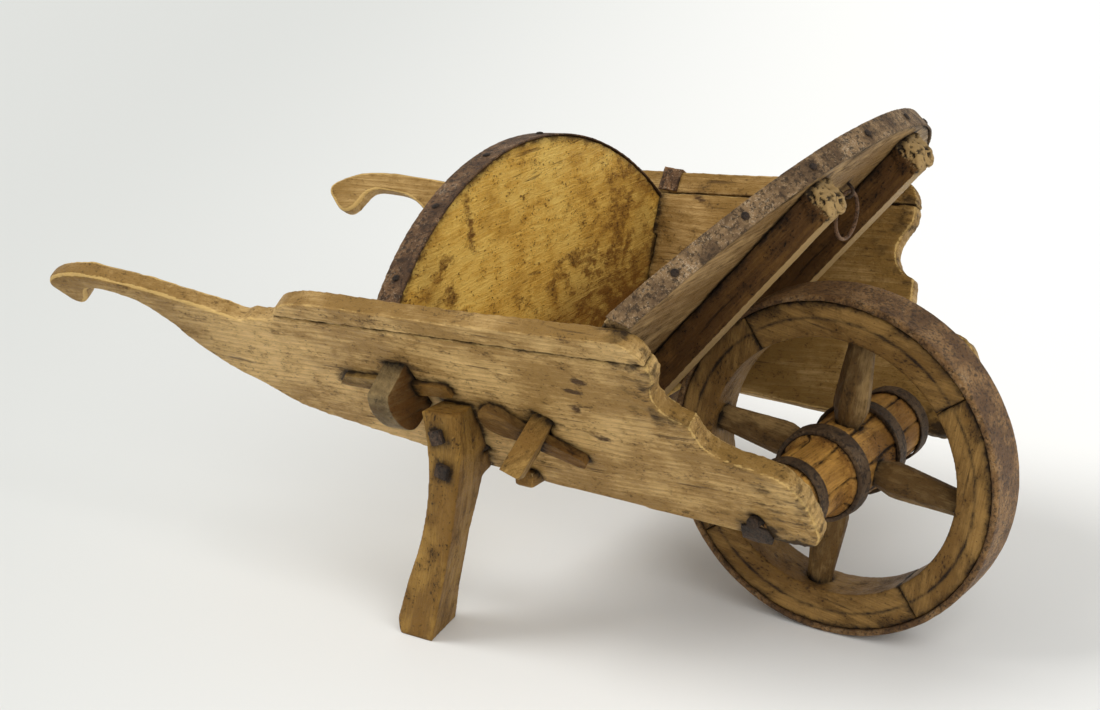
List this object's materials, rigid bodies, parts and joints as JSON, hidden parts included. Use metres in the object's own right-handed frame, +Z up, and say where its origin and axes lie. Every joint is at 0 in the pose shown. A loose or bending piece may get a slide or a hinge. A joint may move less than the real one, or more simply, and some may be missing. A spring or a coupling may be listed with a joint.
{
  "type": "wheelbarrow",
  "caption": "Antique wooden wheelbarrow: splayed side planks with hooked handles, arched end boards, legs and an iron-tyred spoked wheel.",
  "frame": {"origin": "centre of the overall box, on the ground", "axes": "+X towards the wheel, +Y to the left of someone pushing, +Z up"},
  "size_m": [1.4066, 0.867, 0.7423],
  "materials": {
    "plank_wood": "weathered waxed wood, open grain",
    "board_wood": "honey-coloured worn wood",
    "slope_wood": "greyed straw-coloured wood",
    "dark_wood": "dark aged wood",
    "key_wood": "worn hardwood",
    "leg_wood": "worn hardwood",
    "felloe_wood": "dark worn hardwood",
    "spoke_wood": "dark worn hardwood, greyed on its faces",
    "nave_wood": "golden worn wood with drying cracks",
    "band_iron": "hammered rusted strip",
    "tyre_iron": "pitted rusted strip",
    "small_iron": "dark forged iron"
  },
  "bodies": {
    "frame": {"side_plank_right": "plank_wood", "side_plank_left": "plank_wood", "top_rail_right": "plank_wood", "top_rail_left": "plank_wood", "rear_board": "board_wood", "floor_board_rear": "board_wood", "floor_board_front": "board_wood", "front_board": "slope_wood", "front_rib_right": "dark_wood", "front_rib_left": "dark_wood", "floor_bearer": "dark_wood", "rear_key_right": "key_wood", "rear_key_left": "key_wood", "front_key_right": "key_wood", "front_key_left": "key_wood", "leg_right": "leg_wood", "leg_left": "leg_wood", "axle_plate_right": "small_iron", "axle_plate_left": "small_iron", "leg_screw_upper_right": "small_iron", "leg_screw_upper_left": "small_iron", "leg_screw_lower_right": "small_iron", "leg_screw_lower_left": "small_iron", "ring_staple": "small_iron", "rear_band_nail_1": "small_iron", "rear_band_nail_2": "small_iron", "rear_band_nail_3": "small_iron", "rear_band_nail_4": "small_iron", "rear_band_nail_5": "small_iron", "rear_band_nail_6": "small_iron", "front_band_nail_1": "small_iron", "front_band_nail_2": "small_iron", "front_band_nail_3": "small_iron", "front_band_nail_4": "small_iron", "front_band_nail_5": "small_iron", "front_band_nail_6": "small_iron", "rear_band": "band_iron", "front_band": "band_iron"},
    "wheel": {"nave": "nave_wood", "tyre": "tyre_iron", "felloe_1": "felloe_wood", "felloe_2": "felloe_wood", "felloe_3": "felloe_wood", "felloe_4": "felloe_wood", "spoke_1": "spoke_wood", "spoke_2": "spoke_wood", "spoke_3": "spoke_wood", "spoke_4": "spoke_wood", "nave_hoop_right": "band_iron", "nave_hoop_left": "band_iron", "nave_tip_hoop_right": "band_iron", "nave_tip_hoop_left": "band_iron", "axle_pin_right": "small_iron", "axle_pin_left": "small_iron"},
    "ring": {"hanging_ring": "small_iron"}
  },
  "joints": [
    {"name": "wheel_spin", "type": "hinge", "parent": "frame", "child": "wheel", "pos_m": [0.4533, 0, 0.25], "axis": [0, 1, 0], "continuous": true},
    {"name": "ring_swing", "type": "hinge", "parent": "frame", "child": "ring", "pos_m": [0.43, 0.032, 0.6277], "axis": [0, 1, 0], "range_deg": [-120, 34]}
  ]
}
